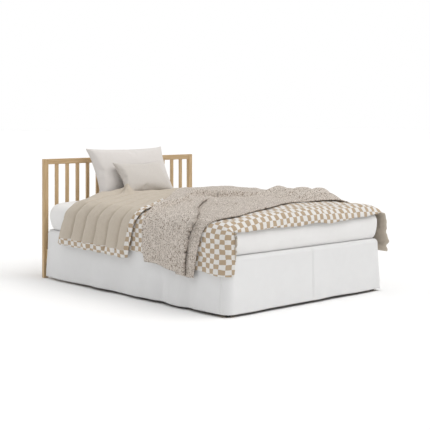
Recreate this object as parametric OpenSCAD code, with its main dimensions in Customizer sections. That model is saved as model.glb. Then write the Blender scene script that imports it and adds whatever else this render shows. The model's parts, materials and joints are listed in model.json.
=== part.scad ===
// Slatted oak headboard bed with a skirted box foundation, mattress and bedding.
// Millimetres. Origin on the floor at the centre of the bed's outline, +Y to the head, +Z up.

/* [Headboard] */
// Width over the two posts
headboard_w = 1396; // [1300:1:1500]
// Height of posts and top rail above the floor
headboard_h = 848; // [780:1:950]
// Number of upright slats
slat_count = 14; // [10:1:16]
// Width of one headboard slat
slat_w = 26; // [20:1:34]
// Thickness of one headboard slat
slat_t = 15; // [12:1:18]
// Post width, across the bed
post_w = 38; // [36:1:50]
// Post depth, along the bed
post_d = 28; // [26:1:40]
// Height of the top rail
top_rail_h = 38; // [30:1:60]
// Height of the bottom rail
bottom_rail_h = 70; // [50:1:90]
// Underside of the bottom rail above the floor
bottom_rail_z = 236; // [220:1:245]

/* [Bed] */
// Overall length, headboard back to foot hem
bed_l = 1960; // [1900:1:2050]
// Width of the skirted base
base_w = 1370; // [1340:1:1390]
// Top of the skirted foundation above the floor
base_h = 345; // [325:1:380]
// Mattress thickness
mattress_t = 222; // [180:1:260]
// Corner radius of foundation, skirt and mattress at the foot
corner_r = 52; // [40:1:60]
// Skirt hem above the floor
skirt_gap = 20; // [10:1:40]

/* [Frame] */
// Thickness of side, foot and head cross rails
rail_t = 22; // [20:1:24]
// Height of side, foot and head cross rails
rail_h = 100; // [90:1:110]
// Top of the rails above the floor
rail_top = 206; // [200:1:215]
// Number of bed slats
bed_slat_count = 8; // [6:1:8]
// Width of one bed slat
bed_slat_w = 70; // [50:1:90]
// Thickness of one bed slat
bed_slat_t = 18; // [15:1:20]
// Side of a centre leg
leg_w = 45; // [40:1:50]
// Side of a corner leg at the foot
corner_leg_w = 60; // [58:1:62]

/* [Hardware] */
// Rail bolt shank diameter
bolt_d = 6; // [6:1:8]
// Dowel diameter
dowel_d = 8; // [6:1:10]
// Leveller stem diameter
stem_d = 8; // [8:1:10]
// Leveller travel below its stop
leveller_travel = 15; // [5:1:20]

/* [Bedding] */
// Thickness of each quilt and of the throw
quilt_t = 10; // [6:1:14]
// Width of the pillow
pillow_w = 690; // [600:5:760]
// Height of the pillow
pillow_h = 400; // [360:5:440]
// Lean of the pillow against the headboard, degrees
pillow_lean = 32; // [20:1:40]
// Width of the cushion
cushion_w = 440; // [380:5:500]
// Height of the cushion
cushion_h = 262; // [220:2:300]
// Lean of the cushion against the pillow, degrees
cushion_lean = 38; // [30:1:45]

/* [Hidden] */
$fn = 48;
gap = 0.3;
fit = 0.1;
ease = 3;
fine_ease = 2;
rail_inset = 5;
base_x = base_w / 2;
back_y = bed_l / 2;
front_y = back_y - post_d;
foot_hem_y = -bed_l / 2;
skirt_t = 2.4;
deck_t = 1.6;
foot_overhang = 13;
foot_face_y = foot_hem_y + foot_overhang;
rail_x = base_x - rail_inset;
rail_in = rail_x - rail_t;
rail_z = rail_top - rail_h;
foot_rail_inset = 10;
foot_rail_y = foot_face_y + foot_rail_inset;
head_rail_gap = 2;
head_rail_y = front_y - head_rail_gap - rail_t;
leg_y = foot_face_y + rail_inset;
pad_h = 8;
pad_d = 30;
pad_chamfer = 2;
collar_h = 6;
collar_d = 18;
leveller_gap = 0.2;
leg_z = pad_h + collar_h + leveller_gap;
leg_play = 2;
post_x = headboard_w / 2 - post_w;
slat_pitch = (2 * post_x - slat_count * slat_w) / (slat_count + 1) + slat_w;
slat_tenon = 12;
slat_tenon_t = 9;
slat_shoulder = 3;
rail_tenon = 18;
top_shoulder = 6;
bottom_shoulder = 10;
tenon_t = 12;
board_t = 24;
board_y = front_y + (post_d - board_t) / 2;
board_mid = board_y + board_t / 2;
slats_bottom = bottom_rail_z + bottom_rail_h;
slats_top = headboard_h - top_rail_h;
slats_z = rail_top - bed_slat_t;
beam_w = 40;
beam_h = 60;
beam_z = slats_z - beam_h;
first_slat_y = -790;
last_slat_y = 870;
slat_end_gap = 3;
plate_t = 2.5;
plate_w = 88;
shelf_l = 42;
saddle_drop = 2;
bracket_screw_x = 32;
ledger_w = 22;
bolt_x = rail_x - rail_t / 2;
bolt_edge = 20;
bolt_z = [rail_z + bolt_edge, rail_top - bolt_edge];
foot_bolt_z = rail_z + rail_h / 2;
dowel_z = rail_z + rail_h / 2;
dowel_hole = 16;
dowel_step = 8;
dowel_l = 28;
bolt_head_d = 11;
bolt_head_h = 6;
bolt_head_play = 0.5;
socket_d = 5;
socket_h = 3;
bolt_into_rail = 54;
bolt_bore = bolt_into_rail + 2;
post_sink = 2;
foot_sink = 34;
side_sink = 25;
nut_back = 46;
nut_d = 10;
nut_l = 16;
nut_play = 0.7;
nut_seat = (rail_t + nut_l) / 2 + nut_play;
insert_d = 12;
insert_l = 20;
stem_l = 30;
stem_play = 2;
stem_bore = leveller_travel;
screw_d = 4;
screw_l = 34;
screw_head_d = 8;
screw_head_h = 2.5;
screw_sink = 3;
slot_l = 6;
slot_w = 1;
bracket_screw_l = 16;
bracket_pilot = 15;
slat_pilot = 17;
centre_leg_y = [-450, 450];
foot_leg_at = [rail_x - corner_leg_w / 2, leg_y + corner_leg_w / 2];
mattress_z = base_h + gap;
mattress_top = mattress_z + mattress_t;
mattress_x = base_x - 1;
mattress_foot = foot_face_y + 5;
mattress_head = front_y - 6;
mattress_head_r = 40;
base_head = front_y - 4;
base_head_r = 30;
checker_top = mattress_top + gap;
channel_top = checker_top + quilt_t + gap;
throw_z = channel_top + quilt_t + gap;
checker_hem_z = 255;
checker_head_y = 60;
foot_turn = 80;
foot_lap = 20;
channel_hem_z = 262;
channel_foot_y = -130;
channel_head_y = 680;
throw_hem_z = 240;
pillow_at = [-18, 805, 745];
pillow_d = 100;
cushion_at = [-30, 652, 702];
cushion_d = 80;
plump_r = 14;

function pad2(i) = str(i < 10 ? "0" : "", i);
function head_slat_name(i) = str("headboard_slat_", pad2(i));
function bed_slat_name(i) = str("bed_slat_", pad2(i));
function bed_slat_y(i) =
    first_slat_y + (i - 1) * (last_slat_y - first_slat_y) / (bed_slat_count - 1);
function slat_x(i) = -post_x + i * slat_pitch - slat_w / 2;
function foot_dowel_z(z) = z + dowel_step * sign(foot_bolt_z - z);
function leveller_places() = [
    [-foot_leg_at.x, foot_leg_at.y], foot_leg_at, [0, centre_leg_y[0]], [0, centre_leg_y[1]]
];

// ---- shared shapes; every cut runs 1 mm past the face it opens ----

// Mirrors its children to the left side of the bed when side is -1.
module on_side(side) {
    mirror([side < 0 ? 1 : 0, 0, 0]) children();
}

// Upright bar from the origin with its four long edges rounded.
module eased_bar(w, d, h, r = ease) {
    translate([r, 0, 0]) cube([w - 2 * r, d, h]);
    translate([0, r, 0]) cube([w, d - 2 * r, h]);
    for (x = [r, w - r], y = [r, d - r])
        translate([x, y, 0]) cylinder(r = r, h = h, $fn = 24);
}

// Eased bar laid along +X from the origin, depth along Y and height along Z.
module bar_x(l, d, h, r = ease) {
    translate([0, 0, h]) rotate([0, 90, 0]) eased_bar(h, d, l, r);
}

// Eased bar laid along +Y from the origin, width along X and height along Z.
module bar_y(w, l, h, r = ease) {
    translate([0, l, 0]) rotate([90, 0, 0]) eased_bar(w, h, l, r);
}

// Round rod along +Y from a point, for pegs and for the holes they sit in.
module rod_y(x, y, z, r, l) {
    translate([x, y, z]) rotate([-90, 0, 0]) cylinder(r = r, h = l);
}

// Round rod along +X from a point.
module rod_x(x, y, z, r, l) {
    translate([x, y, z]) rotate([0, 90, 0]) cylinder(r = r, h = l);
}

// Flat slab between two corners, rounded in plan: r_foot at the foot end, r_head at the head end.
module rounded_slab(x, y0, y1, z, h, r_foot, r_head) {
    translate([0, 0, z]) {
        translate([-x, y0 + r_foot, 0]) cube([2 * x, y1 - r_head - y0 - r_foot, h]);
        translate([r_foot - x, y0, 0]) cube([2 * (x - r_foot), r_foot + 1, h]);
        translate([r_head - x, y1 - r_head - 1, 0]) cube([2 * (x - r_head), r_head + 1, h]);
        for (s = [-1, 1]) {
            translate([s * (x - r_foot), y0 + r_foot, 0]) cylinder(r = r_foot, h = h);
            translate([s * (x - r_head), y1 - r_head, 0]) cylinder(r = r_head, h = h);
        }
    }
}

// ---- headboard ----

module headboard_post(side) {
    color("#c4a680") on_side(side) difference() {
        translate([post_x, front_y, 0]) eased_bar(post_w, post_d, headboard_h);
        translate([post_x - 1, board_mid - tenon_t / 2 - fit, slats_top + top_shoulder - fit])
            cube([rail_tenon + 1 + fit, tenon_t + 2 * fit,
                  top_rail_h - 2 * top_shoulder + 2 * fit]);
        translate([post_x - 1, board_mid - tenon_t / 2 - fit, bottom_rail_z + bottom_shoulder - fit])
            cube([rail_tenon + 1 + fit, tenon_t + 2 * fit,
                  bottom_rail_h - 2 * bottom_shoulder + 2 * fit]);
        for (z = bolt_z) {
            rod_y(bolt_x, front_y - 1, z, bolt_d / 2 + fit, post_d + 2);
            rod_y(bolt_x, back_y - bolt_head_h - post_sink, z, bolt_head_d / 2 + bolt_head_play,
                   bolt_head_h + post_sink + 1);
        }
        rod_y(bolt_x, front_y - 1, dowel_z, dowel_d / 2, dowel_hole + 1);
    }
}

module headboard_rail(z, h, shoulder, mortise_z) {
    color("#c4a680") difference() {
        union() {
            translate([-post_x, board_y, z]) bar_x(2 * post_x, board_t, h);
            translate([-post_x - rail_tenon, board_mid - tenon_t / 2, z + shoulder])
                cube([2 * (post_x + rail_tenon), tenon_t, h - 2 * shoulder]);
        }
        for (i = [1:slat_count])
            translate([slat_x(i) - slat_w / 2 + slat_shoulder - fit,
                       board_mid - slat_tenon_t / 2 - fit, mortise_z])
                cube([slat_w - 2 * slat_shoulder + 2 * fit, slat_tenon_t + 2 * fit, slat_tenon + 1]);
    }
}

module headboard_top_rail() {
    headboard_rail(slats_top, top_rail_h, top_shoulder, slats_top - 1 + fit);
}

module headboard_bottom_rail() {
    headboard_rail(bottom_rail_z, bottom_rail_h, bottom_shoulder, slats_bottom - slat_tenon - fit);
}

module headboard_slat(i) {
    color("#c0a37d") translate([slat_x(i) - slat_w / 2, board_mid - slat_t / 2, slats_bottom]) {
        eased_bar(slat_w, slat_t, slats_top - slats_bottom, fine_ease);
        translate([slat_shoulder, (slat_t - slat_tenon_t) / 2, -slat_tenon])
            cube([slat_w - 2 * slat_shoulder, slat_tenon_t,
                  slats_top - slats_bottom + 2 * slat_tenon]);
    }
}

// ---- bed frame ----

module side_rail(side) {
    rail_l = front_y - (leg_y + corner_leg_w);
    color("#d8bf98") on_side(side) difference() {
        translate([rail_in, leg_y + corner_leg_w, rail_z]) bar_y(rail_t, rail_l, rail_h);
        for (z = bolt_z) {
            rod_y(bolt_x, front_y - bolt_bore, z, bolt_d / 2 + fit, bolt_bore + 1);
            rod_x(rail_in - 1, front_y - nut_back, z, nut_d / 2 + fit, nut_seat + 1);
            rod_y(bolt_x, leg_y + corner_leg_w - 1, z, bolt_d / 2 + fit, bolt_bore + 1);
            rod_x(rail_in - 1, leg_y + corner_leg_w + nut_back, z, nut_d / 2 + fit, nut_seat + 1);
        }
        rod_y(bolt_x, front_y - dowel_hole, dowel_z, dowel_d / 2, dowel_hole + 1);
        rod_y(bolt_x, leg_y + corner_leg_w - 1, dowel_z, dowel_d / 2, dowel_hole + 1);
    }
}

module foot_rail() {
    rail_end = rail_x - corner_leg_w;
    color("#d8bf98") difference() {
        translate([-rail_end, foot_rail_y, rail_z]) bar_x(2 * rail_end, rail_t, rail_h);
        for (s = [-1, 1]) on_side(s) {
            rod_x(rail_end - bolt_bore, foot_rail_y + rail_t / 2, foot_bolt_z,
                   bolt_d / 2 + fit, bolt_bore + 1);
            rod_y(rail_end - nut_back, foot_rail_y + rail_t - nut_seat, foot_bolt_z,
                   nut_d / 2 + fit, nut_seat + 1);
            for (z = bolt_z)
                rod_x(rail_end - dowel_hole, foot_rail_y + rail_t / 2, foot_dowel_z(z),
                       dowel_d / 2, dowel_hole + 1);
        }
        bracket_pilots(foot_rail_y + rail_t - bracket_pilot);
    }
}

module head_cross_rail() {
    color("#d8bf98") difference() {
        translate([-rail_in + gap, head_rail_y, rail_z])
            bar_x(2 * (rail_in - gap), rail_t, rail_h);
        bracket_pilots(head_rail_y - 1);
    }
}

// Pilot holes for the two screws of a beam bracket.
module bracket_pilots(y) {
    for (s = [-1, 1])
        rod_y(s * bracket_screw_x, y, beam_z + beam_h / 2, screw_d / 2 + fit, bracket_pilot + 1);
}

module foot_leg(side) {
    color("#d8bf98") on_side(side) difference() {
        translate([rail_x - corner_leg_w, leg_y, leg_z]) {
            r = corner_r - leg_play;
            translate([0, ease, 0]) cube([ease, corner_leg_w - ease, rail_top - leg_z]);
            translate([ease, ease, 0])
                cylinder(r = ease, h = rail_top - leg_z, $fn = 24);
            translate([ease, 0, 0]) cube([corner_leg_w - r - ease, corner_leg_w, rail_top - leg_z]);
            translate([ease, r, 0]) cube([corner_leg_w - ease, corner_leg_w - r, rail_top - leg_z]);
            translate([corner_leg_w - r, 0, 0]) intersection() {
                translate([0, r, 0]) cylinder(r = r, h = rail_top - leg_z);
                cube([r, r, rail_top - leg_z]);
            }
        }
        for (z = bolt_z) {
            rod_y(bolt_x, leg_y - 1, z, bolt_d / 2 + fit, corner_leg_w + 2);
            rod_y(bolt_x, leg_y - 1, z, bolt_head_d / 2 + bolt_head_play, foot_sink + 1);
            rod_x(rail_x - corner_leg_w - 1, foot_rail_y + rail_t / 2,
                   foot_dowel_z(z), dowel_d / 2, dowel_hole + 1);
        }
        rod_y(bolt_x, leg_y + corner_leg_w - dowel_hole, dowel_z, dowel_d / 2, dowel_hole + 1);
        rod_x(rail_x - corner_leg_w - 1, foot_rail_y + rail_t / 2, foot_bolt_z,
               bolt_d / 2 + fit, corner_leg_w + 2);
        rod_x(rail_x - side_sink, foot_rail_y + rail_t / 2, foot_bolt_z,
               bolt_head_d / 2 + bolt_head_play, side_sink + 1);
        translate([foot_leg_at.x, foot_leg_at.y, leg_z]) insert_bore();
    }
}

// Blind hole in a leg's underside for the threaded insert and the stem above it.
module insert_bore() {
    translate([0, 0, -1]) cylinder(d = insert_d + 2 * fit, h = insert_l + 1);
    translate([0, 0, insert_l - 1]) cylinder(d = stem_d + stem_play, h = stem_bore + 1);
}

module ledger(side) {
    y0 = leg_y + corner_leg_w + 1;
    color("#cdb48c") on_side(side) difference() {
        translate([rail_in - ledger_w, y0, slats_z - ledger_w])
            bar_y(ledger_w, head_rail_y - gap - y0, ledger_w, fine_ease);
        for (i = [1:bed_slat_count])
            translate([rail_in - ledger_w / 2, bed_slat_y(i), slats_z - slat_pilot])
                cylinder(d = screw_d + 2 * fit, h = slat_pilot + 1);
    }
}

module centre_beam() {
    y0 = foot_rail_y + rail_t + plate_t + gap;
    y1 = head_rail_y - plate_t - gap;
    color("#d8bf98") difference() {
        translate([-beam_w / 2, y0, beam_z]) bar_y(beam_w, y1 - y0, beam_h);
        for (i = [1:bed_slat_count])
            translate([0, bed_slat_y(i), slats_z - slat_pilot])
                cylinder(d = screw_d + 2 * fit, h = slat_pilot + 1);
        for (y = centre_leg_y)
            translate([0, y, beam_z - 1]) cylinder(d = dowel_d, h = dowel_hole + 1);
    }
}

module centre_leg(y) {
    color("#d8bf98") difference() {
        translate([-leg_w / 2, y - leg_w / 2, leg_z]) eased_bar(leg_w, leg_w, beam_z - leg_z);
        translate([0, y, leg_z]) insert_bore();
        translate([0, y, beam_z - dowel_hole]) cylinder(d = dowel_d, h = dowel_hole + 1);
    }
}

// One steel saddle: back plate, two cheeks and a shelf under the end of the beam.
module saddle(y) {
    color("#8e9196") translate([0, y, beam_z]) {
        difference() {
            translate([-plate_w / 2, 0, -plate_t])
                cube([plate_w, plate_t, beam_h + plate_t - saddle_drop]);
            for (s = [-1, 1])
                rod_y(s * bracket_screw_x, -1, beam_h / 2, screw_d / 2 + fit, plate_t + 2);
        }
        translate([-beam_w / 2 - gap - plate_t, 0, -plate_t - gap])
            cube([beam_w + 2 * (gap + plate_t), shelf_l, plate_t]);
        for (s = [-1, 1]) on_side(s)
            translate([beam_w / 2 + gap, 0, -plate_t - gap])
                cube([plate_t, shelf_l, beam_h - saddle_drop]);
    }
}

module beam_brackets() {
    saddle(foot_rail_y + rail_t);
    mirror([0, 1, 0]) saddle(-head_rail_y);
}

module bed_slat(i) {
    half = rail_in - slat_end_gap;
    color("#dcc59f") difference() {
        translate([-half, bed_slat_y(i) - bed_slat_w / 2, slats_z])
            bar_x(2 * half, bed_slat_w, bed_slat_t, fine_ease);
        for (x = [-rail_in + ledger_w / 2, 0, rail_in - ledger_w / 2])
            translate([x, bed_slat_y(i), slats_z]) screw_hole();
    }
}

module screw_hole() {
    translate([0, 0, -1]) cylinder(d = screw_d + 2 * fit, h = bed_slat_t + 2);
    translate([0, 0, bed_slat_t - screw_sink])
        cylinder(d = screw_head_d + 2 * fit, h = screw_sink + 1);
}

// ---- hardware ----

module wood_screws() {
    stand = plate_t + screw_head_h + fit;
    color("#b9a35e") {
        for (i = [1:bed_slat_count], x = [-rail_in + ledger_w / 2, 0, rail_in - ledger_w / 2])
            translate([x, bed_slat_y(i), rail_top - screw_sink + screw_head_h])
                mirror([0, 0, 1]) screw(screw_l);
        for (x = [-bracket_screw_x, bracket_screw_x]) {
            translate([x, foot_rail_y + rail_t + stand, beam_z + beam_h / 2])
                rotate([90, 0, 0]) screw(bracket_screw_l);
            translate([x, head_rail_y - stand, beam_z + beam_h / 2])
                rotate([-90, 0, 0]) screw(bracket_screw_l);
        }
    }
}

// Pan-head screw, head at the origin and shank along +Z, with a cross slot.
module screw(l) {
    difference() {
        union() {
            cylinder(d = screw_head_d, h = screw_head_h);
            cylinder(d = screw_d, h = l);
        }
        translate([-slot_l / 2, -slot_w / 2, -1]) cube([slot_l, slot_w, 2]);
        translate([-slot_w / 2, -slot_l / 2, -1]) cube([slot_w, slot_l, 2]);
    }
}

// Hex-socket bolt, head at the origin and shank along +Z.
module bolt(l) {
    difference() {
        union() {
            cylinder(d = bolt_head_d, h = bolt_head_h);
            cylinder(d = bolt_d, h = l);
        }
        translate([0, 0, -1]) cylinder(d = socket_d, h = socket_h + 1, $fn = 6);
    }
}

module rail_bolts() {
    head_l = post_d - post_sink + bolt_into_rail;
    foot_head_y = leg_y + foot_sink - bolt_head_h;
    foot_l = corner_leg_w - foot_sink + bolt_head_h + bolt_into_rail;
    side_head_x = rail_x - side_sink + bolt_head_h;
    side_l = corner_leg_w - side_sink + bolt_head_h + bolt_into_rail;
    color("#7f8186") for (s = [-1, 1]) on_side(s) {
        for (z = bolt_z) {
            translate([bolt_x, back_y - post_sink, z]) rotate([90, 0, 0]) bolt(head_l);
            translate([bolt_x, foot_head_y, z]) rotate([-90, 0, 0]) bolt(foot_l);
        }
        translate([side_head_x, foot_rail_y + rail_t / 2, foot_bolt_z])
            rotate([0, -90, 0]) bolt(side_l);
    }
}

// Cross dowel with its threaded hole, axis along +Z from the origin.
module barrel_nut() {
    difference() {
        cylinder(d = nut_d, h = nut_l);
        translate([-nut_d, 0, nut_l / 2]) rotate([0, 90, 0])
            cylinder(d = bolt_d + 2 * fit, h = 2 * nut_d);
    }
}

module barrel_nuts() {
    color("#9a9ca0") for (s = [-1, 1]) on_side(s) {
        for (z = bolt_z, y = [front_y - nut_back, leg_y + corner_leg_w + nut_back])
            translate([bolt_x - nut_l / 2, y, z])
                rotate([0, 0, 90]) rotate([90, 0, 0]) barrel_nut();
        translate([rail_x - corner_leg_w - nut_back, foot_rail_y + (rail_t - nut_l) / 2, foot_bolt_z])
            rotate([-90, 0, 0]) barrel_nut();
    }
}

// Fluted dowels drawn as plain pegs, a little short of their holes.
module frame_dowels() {
    half = dowel_l / 2;
    color("#d2b98f") {
        for (s = [-1, 1]) on_side(s) {
            rod_y(bolt_x, front_y - half, dowel_z, dowel_d / 2 - fit, dowel_l);
            rod_y(bolt_x, leg_y + corner_leg_w - half, dowel_z, dowel_d / 2 - fit, dowel_l);
            for (z = bolt_z)
                rod_x(rail_x - corner_leg_w - half, foot_rail_y + rail_t / 2, foot_dowel_z(z),
                      dowel_d / 2 - fit, dowel_l);
        }
        for (y = centre_leg_y)
            translate([0, y, beam_z - half]) cylinder(d = dowel_d - 2 * fit, h = dowel_l);
    }
}

module leveller_inserts() {
    color("#a3a5a8") for (p = leveller_places())
        translate([p.x, p.y, leg_z + leveller_gap]) difference() {
            cylinder(d = insert_d, h = insert_l - 2 * leveller_gap);
            translate([0, 0, -1]) cylinder(d = stem_d + 2 * fit, h = insert_l + 2);
        }
}

// Screw-in levelling foot: round pad, hex collar and threaded stem.
module leveller(i) {
    p = leveller_places()[i];
    color("#5c5e62") translate([p.x, p.y, 0]) {
        cylinder(d = pad_d - 2 * pad_chamfer, h = pad_chamfer);
        translate([0, 0, pad_chamfer]) cylinder(d = pad_d, h = pad_h - pad_chamfer);
        translate([0, 0, pad_h]) cylinder(d = collar_d, h = collar_h, $fn = 6);
        translate([0, 0, pad_h + collar_h]) cylinder(d = stem_d, h = stem_l);
    }
}

// ---- soft base ----

module foundation() {
    color("#e6e4e0")
        rounded_slab(base_x - skirt_t - gap, foot_face_y + skirt_t + gap, base_head,
                     rail_top + gap, base_h - deck_t - gap - rail_top - gap,
                     corner_r - skirt_t - gap, base_head_r);
}

module skirt_deck() {
    color("#f0efed")
        rounded_slab(base_x, foot_face_y, base_head, base_h - deck_t, deck_t, corner_r, base_head_r);
}

module skirt_side(side) {
    y0 = foot_face_y + corner_r + gap;
    color("#ececeb") on_side(side)
        translate([base_x - skirt_t, y0, skirt_gap])
            cube([skirt_t, base_head - base_head_r - y0, base_h - deck_t - gap - skirt_gap]);
}

module skirt_foot() {
    h = base_h - deck_t - gap - skirt_gap;
    color("#ececeb") translate([0, foot_face_y, skirt_gap]) {
        translate([corner_r - base_x, 0, 0]) cube([2 * (base_x - corner_r), skirt_t, h]);
        for (s = [-1, 1]) on_side(s)
            translate([base_x - corner_r, corner_r, 0]) intersection() {
                difference() {
                    cylinder(r = corner_r, h = h);
                    translate([0, 0, -1]) cylinder(r = corner_r - skirt_t, h = h + 2);
                }
                translate([0, -corner_r, 0]) cube([corner_r, corner_r, h]);
            }
    }
}

module mattress() {
    color("#f4f4f3")
        rounded_slab(mattress_x, mattress_foot, mattress_head, mattress_z, mattress_t,
                     corner_r, mattress_head_r);
}

// ---- bedding ----

// One layer of cloth over the mattress: a top panel and a drop on each side.
module draped_layer(y0, y1, z, t, x, hem_z) {
    translate([-x, y0, z]) cube([2 * x, y1 - y0, t]);
    for (s = [-1, 1]) on_side(s)
        translate([x - t, y0, hem_z]) cube([t, y1 - y0, z + t / 2 - hem_z]);
}

module checker_quilt() {
    x = base_x + gap + quilt_t;
    color("#cbbfae") {
        draped_layer(mattress_foot - gap, checker_head_y, checker_top, quilt_t, x, checker_hem_z);
        translate([-x, foot_hem_y, checker_top - foot_turn])
            cube([2 * x, quilt_t, foot_turn + quilt_t]);
        translate([-x, foot_hem_y + 1, checker_top]) cube([2 * x, quilt_t + foot_lap, quilt_t]);
    }
}

module channel_quilt() {
    color("#bdb3a5")
        draped_layer(channel_foot_y, channel_head_y, channel_top, quilt_t,
                     base_x + 2 * (gap + quilt_t), channel_hem_z);
}

module throw() {
    x = base_x + 2 * (gap + quilt_t);
    left_y0 = -720;
    left_y1 = -230;
    color("#c9bdb0") {
        translate([0, 0, throw_z]) linear_extrude(quilt_t)
            polygon([[-x, left_y0], [-600, -800], [0, -760], [600, -790], [640, -560],
                     [560, 180], [420, 480], [0, 300], [-400, -60], [-x, left_y1]]);
        translate([-x, left_y0, throw_hem_z])
            cube([quilt_t, left_y1 - left_y0, throw_z + quilt_t / 2 - throw_hem_z]);
    }
}

// Plump pillow shape centred on the origin, w wide, h tall and d thick, standing upright.
module plump(w, h, d) {
    hull() {
        for (sx = [-1, 1], sz = [-1, 1])
            translate([sx * (w / 2 - plump_r), 0, sz * (h / 2 - plump_r)])
                sphere(r = plump_r, $fn = 12);
        translate([0, d / 2, 0]) rotate([90, 0, 0]) cylinder(d = h / 2, h = d, $fn = 20);
    }
}

module pillow() {
    color("#dcd8d5") translate(pillow_at) rotate([-pillow_lean, 0, 0])
        plump(pillow_w, pillow_h, pillow_d);
}

module cushion() {
    color("#d6cfc8") translate(cushion_at) rotate([-cushion_lean, 0, 0])
        plump(cushion_w, cushion_h, cushion_d);
}

headboard_post(-1);  // headboard_post_left
headboard_post(1);  // headboard_post_right
headboard_top_rail();
headboard_bottom_rail();
for (i = [1:slat_count]) headboard_slat(i);
side_rail(-1);  // side_rail_left
side_rail(1);  // side_rail_right
foot_rail();
head_cross_rail();
foot_leg(-1);  // foot_leg_left
foot_leg(1);  // foot_leg_right
ledger(-1);  // ledger_left
ledger(1);  // ledger_right
centre_beam();
centre_leg(centre_leg_y[0]);  // centre_leg_foot
centre_leg(centre_leg_y[1]);  // centre_leg_head
beam_brackets();
for (i = [1:bed_slat_count]) bed_slat(i);
wood_screws();
rail_bolts();
barrel_nuts();
frame_dowels();
leveller_inserts();
leveller(0);  // leveller_foot_left
leveller(1);  // leveller_foot_right
leveller(2);  // leveller_centre_foot
leveller(3);  // leveller_centre_head
foundation();
skirt_deck();
skirt_side(-1);  // skirt_left
skirt_side(1);  // skirt_right
skirt_foot();
mattress();
checker_quilt();
channel_quilt();
throw();
pillow();
cushion();
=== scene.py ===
"""Looks for a bed with a slatted oak headboard, a skirted base, a mattress and layered bedding.

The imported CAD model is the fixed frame. Hard parts keep their CAD shape and get a finish here.
Soft parts are made here, in metres, in the same frame: +Y to the head, +Z up, +X to the right.
"""

from __future__ import annotations

import json
import logging
import math
from dataclasses import dataclass
from enum import Enum
from typing import Any

import bpy
import numpy as np
from mathutils import Euler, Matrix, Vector


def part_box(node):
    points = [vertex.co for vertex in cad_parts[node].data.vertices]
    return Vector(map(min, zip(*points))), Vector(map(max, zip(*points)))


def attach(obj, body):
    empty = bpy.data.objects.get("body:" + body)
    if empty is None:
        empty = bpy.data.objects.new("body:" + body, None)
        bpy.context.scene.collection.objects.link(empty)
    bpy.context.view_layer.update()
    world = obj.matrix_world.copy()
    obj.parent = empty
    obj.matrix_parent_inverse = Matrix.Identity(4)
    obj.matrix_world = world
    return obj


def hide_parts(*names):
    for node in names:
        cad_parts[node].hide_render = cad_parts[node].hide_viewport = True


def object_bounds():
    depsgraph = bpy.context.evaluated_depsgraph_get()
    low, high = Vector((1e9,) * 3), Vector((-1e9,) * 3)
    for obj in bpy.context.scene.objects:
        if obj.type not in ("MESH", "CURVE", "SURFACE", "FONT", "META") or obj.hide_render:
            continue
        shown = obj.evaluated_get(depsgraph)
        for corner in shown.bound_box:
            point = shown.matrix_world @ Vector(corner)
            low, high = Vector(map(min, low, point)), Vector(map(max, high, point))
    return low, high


Tree, Node, Socket = bpy.types.NodeTree, bpy.types.Node, bpy.types.NodeSocket
Piece, Grid = bpy.types.Object, np.ndarray

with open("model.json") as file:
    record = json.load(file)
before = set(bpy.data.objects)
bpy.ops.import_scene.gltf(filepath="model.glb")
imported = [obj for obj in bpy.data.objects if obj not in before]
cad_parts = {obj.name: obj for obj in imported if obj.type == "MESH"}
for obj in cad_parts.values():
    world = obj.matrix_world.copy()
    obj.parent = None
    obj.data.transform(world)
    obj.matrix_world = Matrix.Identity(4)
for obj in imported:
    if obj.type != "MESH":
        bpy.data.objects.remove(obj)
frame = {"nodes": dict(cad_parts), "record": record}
CAD_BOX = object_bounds()
LOG = logging.getLogger("bed")
BODY = "bed"


# ---------------------------------------------------------------------------- finishes


def linear(hex_colour: str) -> tuple[float, float, float, float]:
    """Turns an sRGB hex colour into linear RGBA.

    Args:
        hex_colour: a colour such as "#c4a680".

    Returns:
        Red, green, blue and alpha, each from 0 to 1.
    """
    channels = [int(hex_colour[i : i + 2], 16) / 255 for i in (1, 3, 5)]
    lit = [c / 12.92 if c <= 0.04045 else ((c + 0.055) / 1.055) ** 2.4 for c in channels]
    return (lit[0], lit[1], lit[2], 1.0)


def add_node(tree: Tree, kind: str, inputs: dict[Any, Any] | None = None, **settings: Any
             ) -> Node:
    """Adds one shader node, sets it up and links it.

    Args:
        tree: the material's node tree.
        kind: the node's type name without "ShaderNode".
        inputs: socket name or number to a value, or to the output socket that feeds it.
        settings: attributes of the node.

    Returns:
        The new node.
    """
    node = tree.nodes.new("ShaderNode" + kind)
    for key, value in settings.items():
        setattr(node, key, value)
    for key, value in (inputs or {}).items():
        if isinstance(value, Socket):
            tree.links.new(value, node.inputs[key])
        else:
            node.inputs[key].default_value = value
    return node


class Space(Enum):
    """Where a pattern's coordinates come from."""

    PLACE = "Object"
    CLOTH = "UV"


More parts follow.
